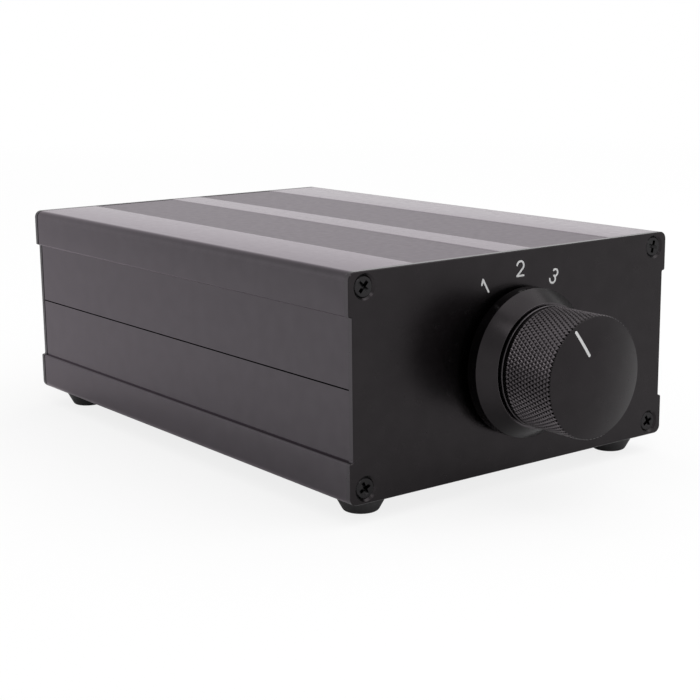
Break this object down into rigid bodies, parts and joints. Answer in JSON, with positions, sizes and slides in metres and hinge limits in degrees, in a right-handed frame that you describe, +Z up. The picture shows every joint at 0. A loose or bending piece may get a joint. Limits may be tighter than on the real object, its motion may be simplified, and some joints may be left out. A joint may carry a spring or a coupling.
{
  "type": "audio source selector",
  "caption": "Passive stereo source selector: flat extruded metal box on rubber feet, knurled three-way rotary knob in front, phono sockets behind.",
  "frame": {"origin": "under the middle of the whole object, on the surface that the feet stand on", "axes": "+X to the right seen from the front, +Y from the front panel to the sockets, +Z up"},
  "size_m": [0.106, 0.1958, 0.06],
  "materials": {
    "case_aluminium": "fine-blasted, black anodised extrusion",
    "panel_aluminium": "fine-blasted, black anodised sheet",
    "knob_aluminium": "turned, knurled and black anodised",
    "black_steel": "black zinc plated",
    "legend_ink": "screen-printed pale grey ink",
    "pointer_paint": "white paint fill",
    "foot_rubber": "matt moulded",
    "turned_brass": "turned",
    "spring_steel": "bright",
    "zinc_casting": "die cast",
    "plated_steel": "zinc plated",
    "plated_brass": "nickel plated",
    "switch_plastic": "moulded, dark green",
    "rotor_plastic": "moulded, natural acetal",
    "contact_bronze": "stamped, silver flashed",
    "gold_plate": "gold plated, polished",
    "collar_white": "moulded, white",
    "collar_red": "moulded, red",
    "insulator_plastic": "moulded, natural",
    "washer_fibre": "fibre",
    "tinned_copper": "tinned wire",
    "lead_white": "insulated wire",
    "lead_red": "insulated wire"
  },
  "bodies": {
    "case": {"earth_bus_wire": "tinned_copper", "foot_front_left": "foot_rubber", "foot_front_right": "foot_rubber", "foot_rear_left": "foot_rubber", "foot_rear_right": "foot_rubber", "front_panel": "panel_aluminium", "front_panel_screws": "black_steel", "lower_shell": "case_aluminium", "position_numerals": "legend_ink", "rear_panel": "panel_aluminium", "rear_panel_screws": "black_steel", "signal_leads_left": "lead_white", "signal_leads_right": "lead_red", "socket_collars_left": "collar_white", "socket_collars_right": "collar_red", "socket_contact_input_1_left": "gold_plate", "socket_contact_input_1_right": "gold_plate", "socket_contact_input_2_left": "gold_plate", "socket_contact_input_2_right": "gold_plate", "socket_contact_input_3_left": "gold_plate", "socket_contact_input_3_right": "gold_plate", "socket_contact_output_left": "gold_plate", "socket_contact_output_right": "gold_plate", "socket_insulators": "insulator_plastic", "socket_nuts": "plated_brass", "socket_rear_washers": "washer_fibre", "socket_shell_input_1_left": "gold_plate", "socket_shell_input_1_right": "gold_plate", "socket_shell_input_2_left": "gold_plate", "socket_shell_input_2_right": "gold_plate", "socket_shell_input_3_left": "gold_plate", "socket_shell_input_3_right": "gold_plate", "socket_shell_output_left": "gold_plate", "socket_shell_output_right": "gold_plate", "socket_solder_tags": "plated_brass", "switch_body_screws": "plated_steel", "switch_bush_plate": "zinc_casting", "switch_common_contacts": "contact_bronze", "switch_housing": "switch_plastic", "switch_lock_washer": "plated_steel", "switch_panel_nut": "plated_brass", "switch_position_contacts": "contact_bronze", "switch_stop_ring": "plated_steel", "switch_terminal_base": "switch_plastic", "upper_shell": "case_aluminium"},
    "selector": {"knob": "knob_aluminium", "knob_pointer": "pointer_paint", "knob_grub_screw": "black_steel", "switch_shaft": "turned_brass", "switch_shaft_clip": "spring_steel", "switch_rotor": "rotor_plastic", "switch_detent_balls": "spring_steel", "switch_detent_springs": "spring_steel", "switch_wipers": "contact_bronze"}
  },
  "joints": [
    {"name": "selector_turn", "type": "hinge", "parent": "case", "child": "selector", "pos_m": [0, -0.07035, 0.0325], "axis": [0, 1, 0], "range_deg": [0, 60]}
  ]
}
